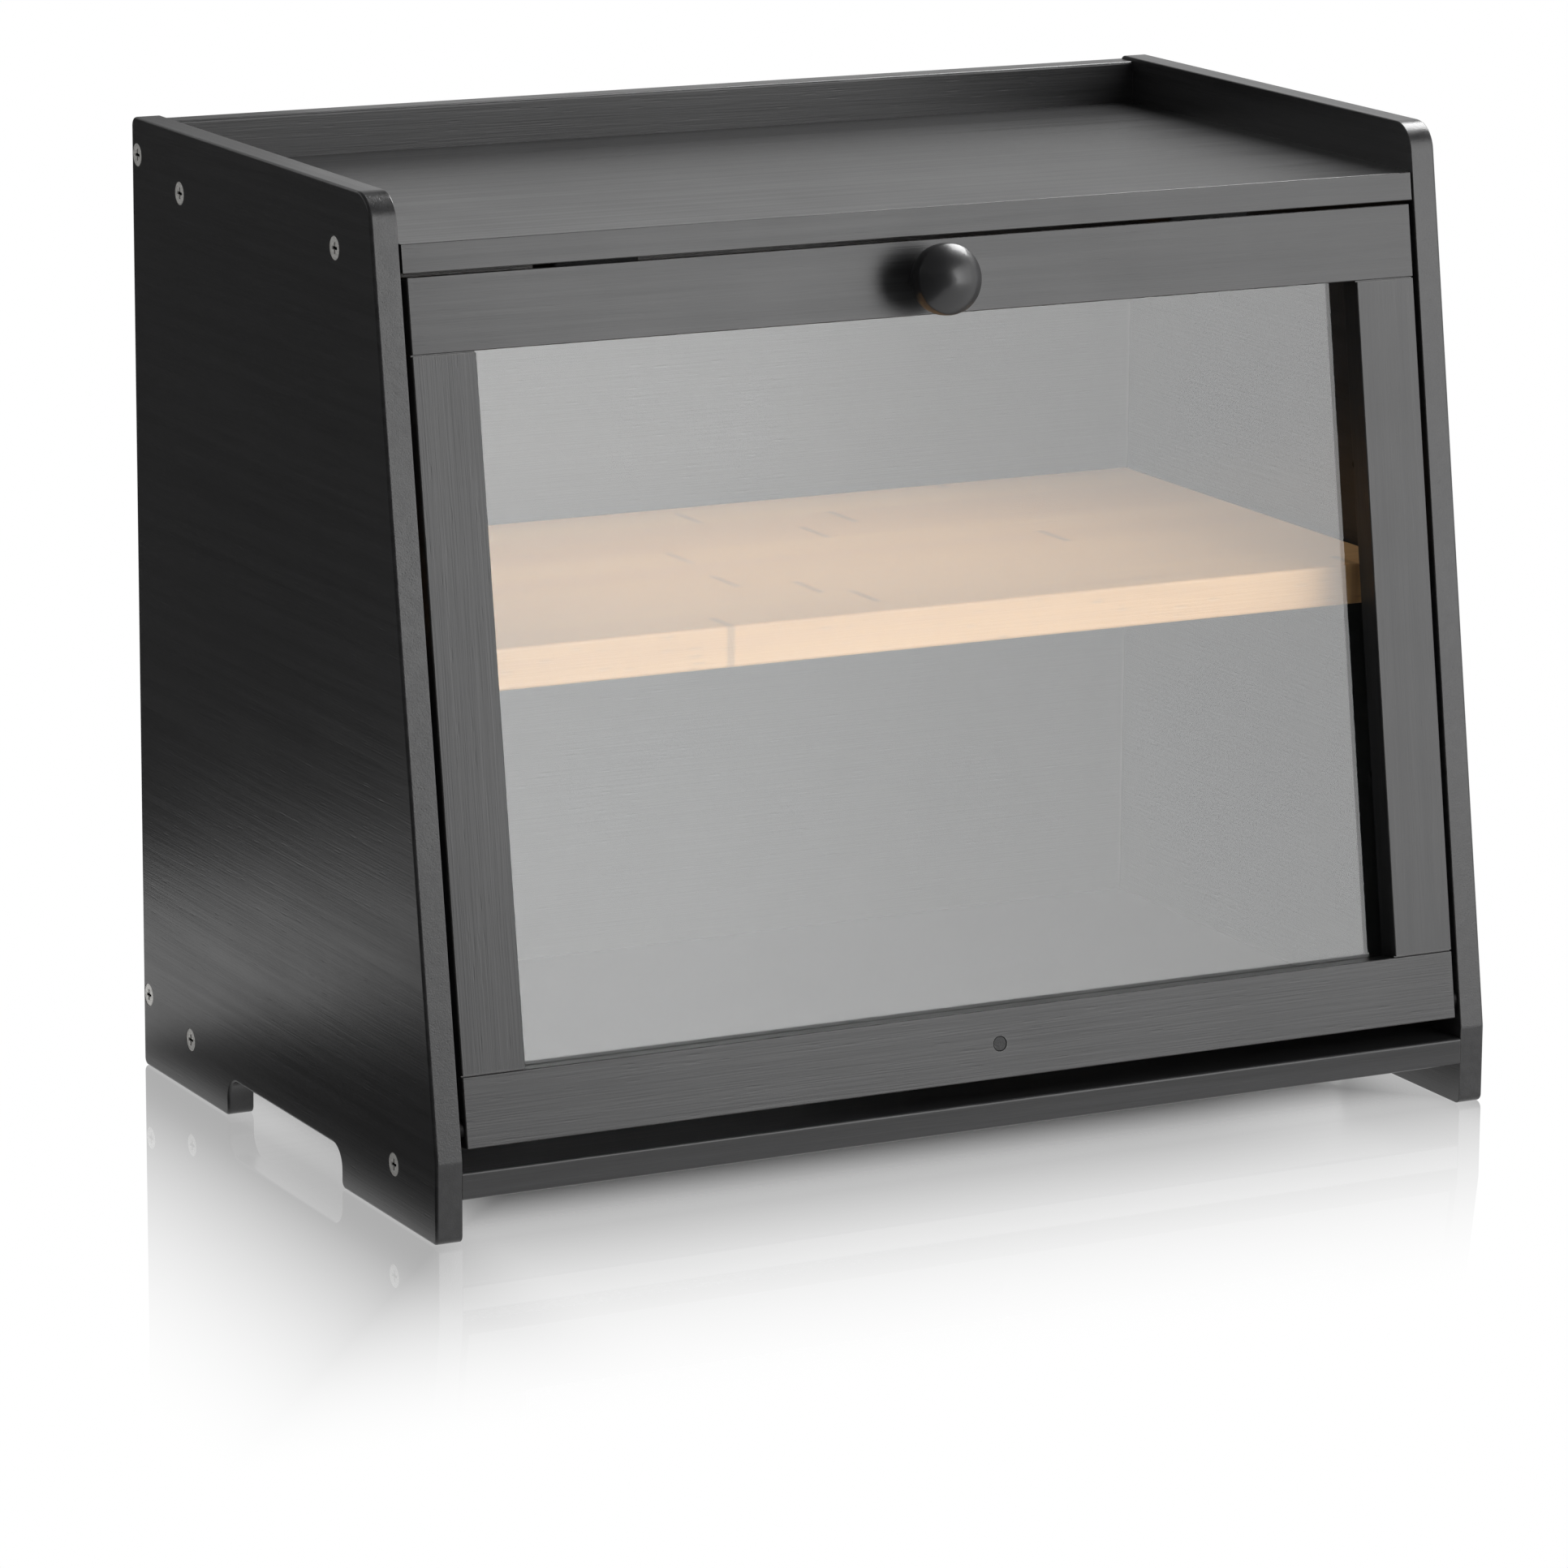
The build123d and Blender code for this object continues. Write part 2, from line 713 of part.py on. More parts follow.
def save_catches():
    for name, side in (("left", -1), ("right", 1)):
        place = Pos(side * catch_offset, 0, 0)
        save(f"{name}_catch_housing", build_catch_housing(side))
        save(f"{name}_catch_magnet", place * build_magnet())
        save(f"{name}_catch_pole_plates", [place * plate for plate in build_pole_plates()])
        save(f"{name}_strike_plate", on_door(place * build_strike_plate()))
        save(f"{name}_strike_screw", on_door(place * build_strike_screw()))
    save("catch_screws", build_catch_screws())


os.makedirs("parts", exist_ok=True)
save_cabinet()
save_shelf()
save_door()
save_catches()
print(f"hinge axis y {hinge_point.Y:.3f} z {hinge_point.Z:.3f}")
print(f"door from {door_low:.2f} to {door_high:.2f} up the front, shelf front y {shelf_front:.2f}")
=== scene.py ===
# %% [markdown]
# Bread box of black painted bamboo, dressed for rendering.
#
# The construction comes ready made: every board, screw and pin is already a mesh at its real size.
# What is left is the looks. Each step below says what the finish is on the real box, how it could be
# made, and why this way was chosen. Each cell after it takes the step and prints what it made.

# %% Load the construction
import math

import bpy
from mathutils import Matrix, Vector


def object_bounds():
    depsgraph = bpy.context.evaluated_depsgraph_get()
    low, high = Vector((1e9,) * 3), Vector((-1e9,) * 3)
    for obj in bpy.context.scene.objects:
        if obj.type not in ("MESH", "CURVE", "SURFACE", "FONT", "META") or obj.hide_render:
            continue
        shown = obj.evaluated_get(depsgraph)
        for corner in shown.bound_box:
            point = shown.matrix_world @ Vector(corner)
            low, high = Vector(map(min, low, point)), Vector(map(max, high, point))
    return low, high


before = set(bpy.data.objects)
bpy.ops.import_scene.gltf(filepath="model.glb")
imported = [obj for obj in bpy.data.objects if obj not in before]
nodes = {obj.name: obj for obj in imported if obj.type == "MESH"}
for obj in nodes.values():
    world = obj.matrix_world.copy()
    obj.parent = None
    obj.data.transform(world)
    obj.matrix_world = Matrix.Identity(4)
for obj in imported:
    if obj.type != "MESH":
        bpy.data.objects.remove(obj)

MM = 0.001
construction_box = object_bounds()
print("loaded", len(nodes), "pieces, lowest and highest corner", construction_box)


# %% [markdown]
# The camera. The real box was seen from in front, a little to its left and a little above.
# The place and angles could be tried by eye, but a long lens shows every small error along the edges.
# So they were solved from the box's own corners, and are written here as a place, three angles
# and a lens. A camera with no rotation looks straight down, so it is first tipped up.

# %% Camera
CAMERA_PLACE = Vector((-1.0724, -2.0603, 0.6477))
CAMERA_YAW = math.radians(27.28)
CAMERA_PITCH = math.radians(13.22)
CAMERA_ROLL = math.radians(0.388)
SENSOR_WIDTH_MM = 36.0
LENS_MM = 165.85


def add_to_scene(name, data):
    """Makes an object that holds this data and puts it in the scene."""
    thing = bpy.data.objects.new(name, data)
    bpy.context.scene.collection.objects.link(thing)
    return thing


def make_camera():
    """Adds the camera that the main picture is taken with."""
    data = bpy.data.cameras.new("main_camera")
    data.sensor_width = SENSOR_WIDTH_MM
    data.lens = LENS_MM
    camera = add_to_scene("main_camera", data)
    turn = (
        Matrix.Rotation(-CAMERA_YAW, 4, "Z")
        @ Matrix.Rotation(math.pi / 2 - CAMERA_PITCH, 4, "X")
        @ Matrix.Rotation(CAMERA_ROLL, 4, "Z")
    )
    camera.matrix_world = Matrix.Translation(CAMERA_PLACE) @ turn
    return camera


bpy.context.scene.camera = make_camera()
print("camera at", tuple(round(v, 3) for v in CAMERA_PLACE), "with a", LENS_MM, "mm lens")


# %% [markdown]
# Every material below is a small network of shader nodes. Adding nodes one at a time takes many
# lines that all look alike, so one helper adds a node and fills its sockets. A value that is itself
# a socket is linked, and any other value is set. That keeps a material short enough to read.

# %% Helpers for shader nodes
def fill(socket, value):
    """Links a socket to another node's output, or sets its plain value."""
    if isinstance(value, bpy.types.NodeSocket):
        socket.id_data.links.new(value, socket)
    else:
        socket.default_value = value


def add_node(tree, kind, sockets=None, **settings):
    """Adds a node, sets its options by name and fills its input sockets by name or number."""
    node = tree.nodes.new(kind)
    for name, value in settings.items():
        setattr(node, name, value)
    for name, value in (sockets or {}).items():
        fill(node.inputs[name], value)
    return node


def maths(tree, operation, *values):
    """Adds a Math node on up to three values, and gives its result."""
    return add_node(tree, "ShaderNodeMath", dict(enumerate(values)), operation=operation).outputs[0]


def between(tree, value, from_low, from_high, to_low=0.0, to_high=1.0):
    """Carries a value smoothly from one range to another, and holds it there beyond the ends."""
    sockets = {"Value": value, "From Min": from_low, "From Max": from_high}
    sockets.update({"To Min": to_low, "To Max": to_high})
    ramp = add_node(tree, "ShaderNodeMapRange", sockets, interpolation_type="SMOOTHSTEP")
    return ramp.outputs["Result"]


def mix_colours(tree, share, first, second):
    """Mixes two colours, and gives the result. The node keeps its colours in sockets 6, 7 and 2."""
    mixer = add_node(tree, "ShaderNodeMix", data_type="RGBA")
    fill(mixer.inputs["Factor"], share)
    fill(mixer.inputs[6], first)
    fill(mixer.inputs[7], second)
    return mixer.outputs[2]


def mix_shaders(tree, share, first, second):
    """Mixes two shaders, and gives the result."""
    return add_node(tree, "ShaderNodeMixShader", {0: share, 1: first, 2: second}).outputs[0]


def glow(tree, strength):
    """A plain white shader that gives off this much light."""
    return add_node(tree, "ShaderNodeEmission", {"Strength": strength}).outputs[0]


def along(tree, position, direction):
    """How far a position lies along a direction."""
    sockets = {0: position, 1: tuple(direction)}
    return add_node(tree, "ShaderNodeVectorMath", sockets, operation="DOT_PRODUCT").outputs["Value"]


def new_group(name, inputs, outputs):
    """Makes a shader node group with these inputs and outputs. Returns its tree and both ends."""
    tree = bpy.data.node_groups.new(name, "ShaderNodeTree")
    for label, kind, value in inputs:
        socket = tree.interface.new_socket(label, in_out="INPUT", socket_type=kind)
        if value is not None:
            socket.default_value = value
    for label, kind in outputs:
        tree.interface.new_socket(label, in_out="OUTPUT", socket_type=kind)
    return tree, tree.nodes.new("NodeGroupInput").outputs, tree.nodes.new("NodeGroupOutput").inputs


def place_group(tree, group, **values):
    """Places a node group in a material. Spaces in a socket's name are written as underscores."""
    sockets = {name.replace("_", " "): value for name, value in values.items()}
    return add_node(tree, "ShaderNodeGroup", sockets, node_tree=group).outputs


FLOAT = "NodeSocketFloat"
VECTOR = "NodeSocketVector"
print("helpers ready")


# %% [markdown]
# Bamboo grain. Bamboo boards are glued up from split canes, so the grain is very straight: long fine
# fibres, broader pale and dark streaks, short sunken pores, and strips that differ a little in tone.
# A picture of wood could be wrapped round each board, but it would show its seams at every edge.
# A solid pattern in space runs through the board as real grain does, so it turns correctly
# over each edge. The group takes positions whose first axis lies along the grain.

# %% Node group for bamboo grain
def make_grain_group():
    """The group's four masks: fine fibres, broad streaks, short pores, and a tone for each strip."""
    tree, given, result = new_group(
        "bamboo_grain",
        [("Position", VECTOR, None), ("Fibre Width", FLOAT, 0.5 * MM), ("Strip Width", FLOAT, 19 * MM)],
        [("Fibres", FLOAT), ("Streaks", FLOAT), ("Pores", FLOAT), ("Strips", FLOAT)],
    )
    parts = add_node(tree, "ShaderNodeSeparateXYZ", {0: given["Position"]}).outputs

    def stretched(length, width):
        """The position in units of one fibre: this long, and this wide both ways across."""
        sides = [maths(tree, "DIVIDE", part, size) for part, size in zip(parts, (length, width, width))]
        return add_node(tree, "ShaderNodeCombineXYZ", dict(enumerate(sides))).outputs[0]

    def lines(length, width, detail, low, high):
        """Soft lines of this length and width. Noise below the low value is 0, and above the high one 1."""
        sockets = {"Vector": stretched(length, width), "Scale": 1.0, "Detail": detail}
        noise = add_node(tree, "ShaderNodeTexNoise", sockets)
        return between(tree, noise.outputs[0], low, high)

    fibre_length = 28 * MM
    fill(result["Fibres"], lines(fibre_length, given["Fibre Width"], 2.0, 0.32, 0.68))

    streak_length = 160 * MM
    streak_width = maths(tree, "MULTIPLY", given["Fibre Width"], 6.0)
    fill(result["Streaks"], lines(streak_length, streak_width, 3.0, 0.3, 0.7))

    pore_length = 11 * MM
    pore_spacing = maths(tree, "MULTIPLY", given["Fibre Width"], 2.6)
    pore_place = stretched(pore_length, pore_spacing)
    cells = add_node(tree, "ShaderNodeTexVoronoi", {"Vector": pore_place, "Scale": 1.0})
    inside = between(tree, cells.outputs["Distance"], 0.30, 0.12)
    chosen = add_node(tree, "ShaderNodeSeparateColor", {0: cells.outputs["Color"]}).outputs[0]
    fill(result["Pores"], maths(tree, "MULTIPLY", inside, between(tree, chosen, 0.55, 0.75)))

    number = maths(tree, "FLOOR", maths(tree, "DIVIDE", parts[1], given["Strip Width"]))
    strip = add_node(tree, "ShaderNodeTexWhiteNoise", {"W": number}, noise_dimensions="1D")
    fill(result["Strips"], strip.outputs["Value"])
    return tree


grain_group = make_grain_group()
print("made group", grain_group.name, "with", len(grain_group.nodes), "nodes")


# %% [markdown]
# Edges. Paint draws back from a sharp edge while it dries, and hands rub it there, so an arris is a
# little paler and shinier than the face beside it. The paler colour is also a painted highlight: it
# stands in for the thin line of light that the lamps draw along each arris. Such a mask could be painted by
# hand on each board.
# Blender can find edges by itself instead: its Bevel node gives the direction that a rounded edge
# would have, and where this differs from the real one, an edge is near.

# %% Node group for edge wear and painted highlight
def make_edge_group():
    """The group's one mask, for wear and a painted highlight: 1 along the piece's edges, and less where a
    patch has kept its coat.
    """
    tree, given, result = new_group(
        "edge_wear_and_highlight",
        [("Position", VECTOR, None), ("Width", FLOAT, 0.8 * MM), ("Patchiness", FLOAT, 0.5)],
        [("Edges", FLOAT)],
    )
    rounded = add_node(tree, "ShaderNodeBevel", {"Radius": given["Width"]}, samples=4).outputs[0]
    real = tree.nodes.new("ShaderNodeNewGeometry").outputs["Normal"]
    agree = add_node(tree, "ShaderNodeVectorMath", {0: rounded, 1: real}, operation="DOT_PRODUCT")
    near = between(tree, agree.outputs["Value"], 0.995, 0.86)
    patch_size = 6 * MM
    sockets = {"Vector": given["Position"], "Scale": 1 / patch_size, "Detail": 3.0}
    patch = add_node(tree, "ShaderNodeTexNoise", sockets)
    worn_and_highlit = between(tree, patch.outputs[0], 0.35, 0.65)
    kept = maths(tree, "SUBTRACT", 1.0, maths(tree, "MULTIPLY", given["Patchiness"], worn_and_highlit))
    fill(result["Edges"], maths(tree, "MULTIPLY", near, kept))
    return tree


edge_group = make_edge_group()
print("made group", edge_group.name, "with", len(edge_group.nodes), "nodes")


# %% [markdown]
# Brush and touch. No sprayed or rolled coat has one gloss all over. It has a fine ripple, and larger
# clouds where it dried faster or was handled. A single roughness number would look like plastic
# sheet, so this group gives a slow cloud for the roughness and a fine ripple for the height.

# %% Node group for uneven coats
def make_coat_group():
    """The group's two soft patterns: slow clouds and a fine ripple."""
    tree, given, result = new_group(
        "uneven_coat",
        [("Position", VECTOR, None), ("Ripple Width", FLOAT, 1.6 * MM), ("Cloud Width", FLOAT, 45 * MM)],
        [("Clouds", FLOAT), ("Ripple", FLOAT)],
    )
    for label, width, detail in (("Clouds", "Cloud Width", 4.0), ("Ripple", "Ripple Width", 1.0)):
        scale = maths(tree, "DIVIDE", 1.0, given[width])
        sockets = {"Vector": given["Position"], "Scale": scale, "Detail": detail}
        noise = add_node(tree, "ShaderNodeTexNoise", sockets)
        fill(result[label], noise.outputs[0])
    return tree


coat_group = make_coat_group()
print("made group", coat_group.name, "with", len(coat_group.nodes), "nodes")


# %% [markdown]
# A material starts the same way each time: a network with one Principled shader and the place of
# each point on the piece. Object coordinates are used for the place, because they stay with a board
# when the door swings or the shelf is lifted.

# %% Starting a material
def start_material(name):
    """Makes a material. Returns it with its network, its Principled shader and the point's place."""
    material = bpy.data.materials.new(name)
    material.use_nodes = True
    tree = material.node_tree
    shader = tree.nodes["Principled BSDF"]
    place = tree.nodes.new("ShaderNodeTexCoord").outputs["Object"]
    return material, tree, shader, place


def turned(tree, place, grain, across):
    """The place with its first axis along the grain and its second across the board's face."""
    third = grain.cross(across)
    sides = [along(tree, place, axis) for axis in (grain, across, third)]
    return add_node(tree, "ShaderNodeCombineXYZ", dict(enumerate(sides))).outputs[0]


def add_bump(tree, shader, height, depth):
    """Feeds a height of 0 to 1 into the shader as relief of this depth in metres."""
    bump = add_node(tree, "ShaderNodeBump", {"Height": height, "Distance": depth, "Strength": 1.0})
    fill(shader.inputs["Normal"], bump.outputs[0])


def dress(material, *names):
    """Gives the material to pieces of the construction."""
    for name in names:
        mesh = nodes[name].data
        mesh.materials.clear()
        mesh.materials.append(material)
    print(material.name, "on", ", ".join(names))


RIGHT = Vector((1, 0, 0))
BACK = Vector((0, 1, 0))
UP = Vector((0, 0, 1))
DOOR_LEAN = math.radians(9)
UP_THE_DOOR = Vector((0, math.sin(DOOR_LEAN), math.cos(DOOR_LEAN)))
OUT_OF_DOOR = Vector((0, -math.cos(DOOR_LEAN), math.sin(DOOR_LEAN)))


# %% [markdown]
# Black paint. The boards are bamboo under a satin black lacquer. Its colour is nearly black, and the
# greys on it are the studio's lamps in its sheen. Under the coat the grain still shows as fine
# relief. The three networks are the same but for the grain's direction: along the rails,
# front to back on the side panels, and up the stiles.

# %% Black painted boards
PAINT_DARK = (0.013, 0.013, 0.0135, 1)
PAINT_PALE = (0.024, 0.024, 0.025, 1)
# the paler colour along arrises: partly wear, partly a painted highlight
PAINT_WORN_AND_HIGHLIGHT = (0.075, 0.073, 0.070, 1)
PAINT_ROUGHNESS = 0.30
PAINT_RELIEF = 0.030 * MM


def black_board(name, grain, across):
    """The lacquered board, with its grain along one direction."""
    material, tree, shader, place = start_material(name)
    position = turned(tree, place, grain, across)
    wood = place_group(tree, grain_group, Position=position)
    coat = place_group(tree, coat_group, Position=place)
    edge = place_group(tree, edge_group, Position=place)

    tone = maths(tree, "MULTIPLY_ADD", wood["Streaks"], 0.6, maths(tree, "MULTIPLY", wood["Fibres"], 0.4))
    paint = mix_colours(tree, tone, PAINT_DARK, PAINT_PALE)
    # paler arris colour: partly wear, partly a painted highlight
    worn_and_highlit = maths(tree, "MULTIPLY", edge["Edges"], 0.5)
    fill(shader.inputs["Base Color"], mix_colours(tree, worn_and_highlit, paint, PAINT_WORN_AND_HIGHLIGHT))

    rough = maths(tree, "MULTIPLY_ADD", coat["Clouds"], 0.10, PAINT_ROUGHNESS - 0.05)
    rough = maths(tree, "MULTIPLY_ADD", wood["Streaks"], 0.05, rough)
    rough = maths(tree, "MULTIPLY_ADD", edge["Edges"], -0.08, rough)
    fill(shader.inputs["Roughness"], rough)

    relief = maths(tree, "MULTIPLY_ADD", wood["Fibres"], 0.35, maths(tree, "MULTIPLY", wood["Streaks"], 0.4))
    relief = maths(tree, "MULTIPLY_ADD", coat["Ripple"], 0.08, relief)
    relief = maths(tree, "MULTIPLY_ADD", wood["Pores"], -0.5, relief)
    add_bump(tree, shader, relief, PAINT_RELIEF)
    return material


board_across = black_board("black_board_across", RIGHT, BACK)
board_deep = black_board("black_board_deep", BACK, UP)
board_upright = black_board("black_board_upright", UP_THE_DOOR, RIGHT)
dress(board_across, "top_panel", "bottom_panel", "back_panel", "door_top_rail", "door_bottom_rail")
dress(board_deep, "left_side_panel", "right_side_panel")
dress(board_upright, "door_left_stile", "door_right_stile")


# %% [markdown]
# The filler plug in the bottom rail is a slice of dowel, painted over with the rail. Its grain meets
# the surface end on, so the paint sinks in and dries duller, with tiny dots in place of streaks.

# %% Plug
def plug_paint():
    """The same paint on end grain."""
    material, tree, shader, place = start_material("black_plug")
    wood = place_group(tree, grain_group, Position=turned(tree, place, OUT_OF_DOOR, RIGHT))
    fill(shader.inputs["Base Color"], mix_colours(tree, wood["Fibres"], PAINT_DARK, PAINT_PALE))
    fill(shader.inputs["Roughness"], maths(tree, "MULTIPLY_ADD", wood["Fibres"], 0.1, 0.5))
    add_bump(tree, shader, wood["Fibres"], 2 * PAINT_RELIEF)
    return material


dress(plug_paint(), "bottom_rail_plug")


# %% [markdown]
# The shelf is the one board that is left in its own colour: strips of pale bamboo side by side under a
# clear satin lacquer. Each strip has its own tone, and every cane has a joint now and then, which
# crosses its strip as a thin brown band. Those bands are what tells bamboo from other pale woods.

# %% Natural bamboo
BAMBOO_PALE = (0.72, 0.43, 0.20, 1)
BAMBOO_DEEP = (0.55, 0.295, 0.12, 1)
BAMBOO_JOINT = (0.30, 0.17, 0.075, 1)
BAMBOO_PORE = (0.40, 0.24, 0.11, 1)
JOINT_SPACING = 230 * MM
JOINT_WIDTH = 2.2 * MM
SHELF_STRIP = 20 * MM
SHELF_FIBRE = 0.6 * MM


def natural_bamboo():
    """Lacquered bamboo strips, with the grain from left to right."""
    material, tree, shader, place = start_material("natural_bamboo")
    position = turned(tree, place, RIGHT, BACK)
    widths = {"Strip_Width": SHELF_STRIP, "Fibre_Width": SHELF_FIBRE}
    wood = place_group(tree, grain_group, Position=position, **widths)
    coat = place_group(tree, coat_group, Position=place)
    edge = place_group(tree, edge_group, Position=place, Width=1.2 * MM)

    tone = maths(tree, "MULTIPLY_ADD", wood["Strips"], 0.45, maths(tree, "MULTIPLY", wood["Streaks"], 0.35))
    tone = maths(tree, "MULTIPLY_ADD", wood["Fibres"], 0.2, tone)
    colour = mix_colours(tree, tone, BAMBOO_PALE, BAMBOO_DEEP)
    colour = mix_colours(tree, maths(tree, "MULTIPLY", wood["Pores"], 0.55), colour, BAMBOO_PORE)

    shift = maths(tree, "MULTIPLY", wood["Strips"], JOINT_SPACING)
    lengthwise = maths(tree, "ADD", along(tree, place, RIGHT), shift)
    from_joint = maths(tree, "PINGPONG", lengthwise, JOINT_SPACING / 2)
    joint = between(tree, from_joint, JOINT_WIDTH, 0.3 * JOINT_WIDTH)
    colour = mix_colours(tree, maths(tree, "MULTIPLY", joint, 0.5), colour, BAMBOO_JOINT)
    # paler edges of the shelf: partly wear, partly a painted highlight
    colour = mix_colours(tree, maths(tree, "MULTIPLY", edge["Edges"], 0.25), colour, BAMBOO_PALE)
    fill(shader.inputs["Base Color"], colour)

    fill(shader.inputs["Roughness"], maths(tree, "MULTIPLY_ADD", coat["Clouds"], 0.14, 0.36))
    relief = maths(tree, "MULTIPLY_ADD", wood["Fibres"], 0.5, maths(tree, "MULTIPLY", coat["Ripple"], 0.3))
    add_bump(tree, shader, maths(tree, "MULTIPLY_ADD", wood["Pores"], -0.7, relief), 0.035 * MM)
    return material


dress(natural_bamboo(), "shelf")


# %% [markdown]
# The dowels that join the door's frame are turned from raw hardwood, and hidden once the frame is
# glued up. They are still wood, with a tight grain along their length and a thirsty, dull surface.

# %% Dowel wood
def dowel_wood():
    """Raw hardwood, with the grain along the dowels."""
    material, tree, shader, place = start_material("dowel_wood")
    position = turned(tree, place, UP_THE_DOOR, RIGHT)
    wood = place_group(tree, grain_group, Position=position, Fibre_Width=0.35 * MM)
    colour = mix_colours(tree, wood["Streaks"], (0.70, 0.53, 0.34, 1), (0.58, 0.41, 0.25, 1))
    fill(shader.inputs["Base Color"], mix_colours(tree, wood["Pores"], colour, (0.40, 0.27, 0.15, 1)))
    fill(shader.inputs["Roughness"], maths(tree, "MULTIPLY_ADD", wood["Fibres"], 0.1, 0.68))
    add_bump(tree, shader, wood["Fibres"], 0.05 * MM)
    return material


dress(dowel_wood(), "door_frame_dowels")


# %% [markdown]
# The window is a clear acrylic sheet. It is glass to the shader: fully see-through, with a mirror-like
# surface that shows the lamps. Light bent by glass is slow and noisy to trace, and behind a
# flat sheet the bend can't be seen, so rays that look for a lamp pass straight through.

# %% Window sheet
ACRYLIC_INDEX = 1.50
ACRYLIC_TINT = (0.97, 0.985, 0.985, 1)
LAMP_SHARE = (0.90, 0.92, 0.92, 1)


def clear_acrylic():
    """The clear sheet, with the faint haze of a polished plastic."""
    material, tree, shader, place = start_material("clear_acrylic")
    coat = place_group(tree, coat_group, Position=place)
    fill(shader.inputs["Base Color"], ACRYLIC_TINT)
    fill(shader.inputs["Transmission Weight"], 1.0)
    fill(shader.inputs["IOR"], ACRYLIC_INDEX)
    fill(shader.inputs["Roughness"], maths(tree, "MULTIPLY_ADD", coat["Clouds"], 0.006, 0.008))

    to_lamps = tree.nodes.new("ShaderNodeLightPath").outputs["Is Shadow Ray"]
    let_through = add_node(tree, "ShaderNodeBsdfTransparent", {"Color": LAMP_SHARE}).outputs[0]
    both = mix_shaders(tree, to_lamps, shader.outputs[0], let_through)
    fill(tree.nodes["Material Output"].inputs["Surface"], both)
    return material


dress(clear_acrylic(), "window_pane")


# %% [markdown]
# The knob is turned on a lathe and lacquered black. Its sheen is soft, and a thin clear coat lays a
# sharper glint over it, which a slow ripple bends. Gloss could come from one low roughness alone,
# but that shows the lamps as hard shapes. A rough base under a thin smooth coat keeps both looks.

# %% Knob
def black_knob():
    """Black lacquer with a soft sheen, under a thin clear coat."""
    material, tree, shader, place = start_material("black_knob")
    coat = place_group(tree, coat_group, Position=place, Ripple_Width=2.5 * MM, Cloud_Width=8 * MM)
    colour = mix_colours(tree, coat["Clouds"], (0.010, 0.010, 0.011, 1), (0.015, 0.015, 0.016, 1))
    fill(shader.inputs["Base Color"], colour)
    fill(shader.inputs["Roughness"], maths(tree, "MULTIPLY_ADD", coat["Clouds"], 0.12, 0.30))
    fill(shader.inputs["Coat Weight"], 0.2)
    fill(shader.inputs["Coat Roughness"], 0.1)
    add_bump(tree, shader, coat["Ripple"], 0.012 * MM)
    return material


dress(black_knob(), "knob")


# %% [markdown]
# Screws are nickel plated: a slightly warm pale metal, satin from the tumbling drum, with fine
# scratches from it. The cross in each head was punched, and its floor sees little light, so it is
# painted nearly black there as painted shade. How deep a point lies below the head's face tells where that
# is.

# %% Node group for plated metal
def make_plating_group():
    """The group's two masks: fine scratches along all three axes, and a mottle of small patches."""
    tree, given, result = new_group(
        "plated_metal",
        [("Position", VECTOR, None), ("Scratch Width", FLOAT, 0.12 * MM)],
        [("Scratches", FLOAT), ("Mottle", FLOAT)],
    )
    scratch_length = 14 * MM
    sides = add_node(tree, "ShaderNodeSeparateXYZ", {0: given["Position"]}).outputs
    total = 0.0
    for axis in range(3):
        stretched = [
            maths(tree, "DIVIDE", side, scratch_length if number == axis else given["Scratch Width"])
            for number, side in enumerate(sides)
        ]
        vector = add_node(tree, "ShaderNodeCombineXYZ", dict(enumerate(stretched))).outputs[0]
        sockets = {"Vector": vector, "Scale": 1.0, "Detail": 1.0}
        noise = add_node(tree, "ShaderNodeTexNoise", sockets).outputs[0]
        total = maths(tree, "ADD", total, noise)
    fill(result["Scratches"], between(tree, total, 1.2, 1.8))

    patch_size = 1.5 * MM
    sockets = {"Vector": given["Position"], "Scale": 1 / patch_size}
    patches = add_node(tree, "ShaderNodeTexVoronoi", sockets).outputs["Color"]
    fill(result["Mottle"], add_node(tree, "ShaderNodeSeparateColor", {0: patches}).outputs[0])
    return tree


plating_group = make_plating_group()
print("made group", plating_group.name, "with", len(plating_group.nodes), "nodes")

# %% Screws
NICKEL = (0.90, 0.89, 0.86, 1)
NICKEL_DULL = (0.66, 0.65, 0.62, 1)
NICKEL_METALLIC = 0.5
# painted shade: the nearly black colour of each screw's cross recess
RECESS_PAINTED_SHADE = (0.008, 0.008, 0.008, 1)
RECESS_RIM = 0.15 * MM
RECESS_FLOOR = 0.55 * MM


def highest(name, direction):
    """How far the piece reaches in a direction."""
    return max(direction.dot(corner.co) for corner in nodes[name].data.vertices)


def nickel_screw(name, head_direction, both_ways=False):
    """Plated screws whose heads face one way, or, with both_ways, also the opposite way."""
    material, tree, shader, place = start_material("nickel_" + name)
    plating = place_group(tree, plating_group, Position=place)
    reach = along(tree, place, head_direction)
    if both_ways:
        reach = maths(tree, "ABSOLUTE", reach)
    depth = maths(tree, "SUBTRACT", highest(name, head_direction), reach)
    # painted shade: the deeper a point lies below the head's face, the nearer its colour is to black
    recess_shade = between(tree, depth, RECESS_RIM, RECESS_FLOOR)
    metal = mix_colours(tree, plating["Scratches"], NICKEL, NICKEL_DULL)
    fill(shader.inputs["Base Color"], mix_colours(tree, recess_shade, metal, RECESS_PAINTED_SHADE))
    fill(shader.inputs["Metallic"], NICKEL_METALLIC)
    rough = maths(tree, "MULTIPLY_ADD", plating["Scratches"], 0.12, 0.46)
    fill(shader.inputs["Roughness"], maths(tree, "MULTIPLY_ADD", recess_shade, 0.3, rough))
    add_bump(tree, shader, plating["Scratches"], 0.004 * MM)
    return material


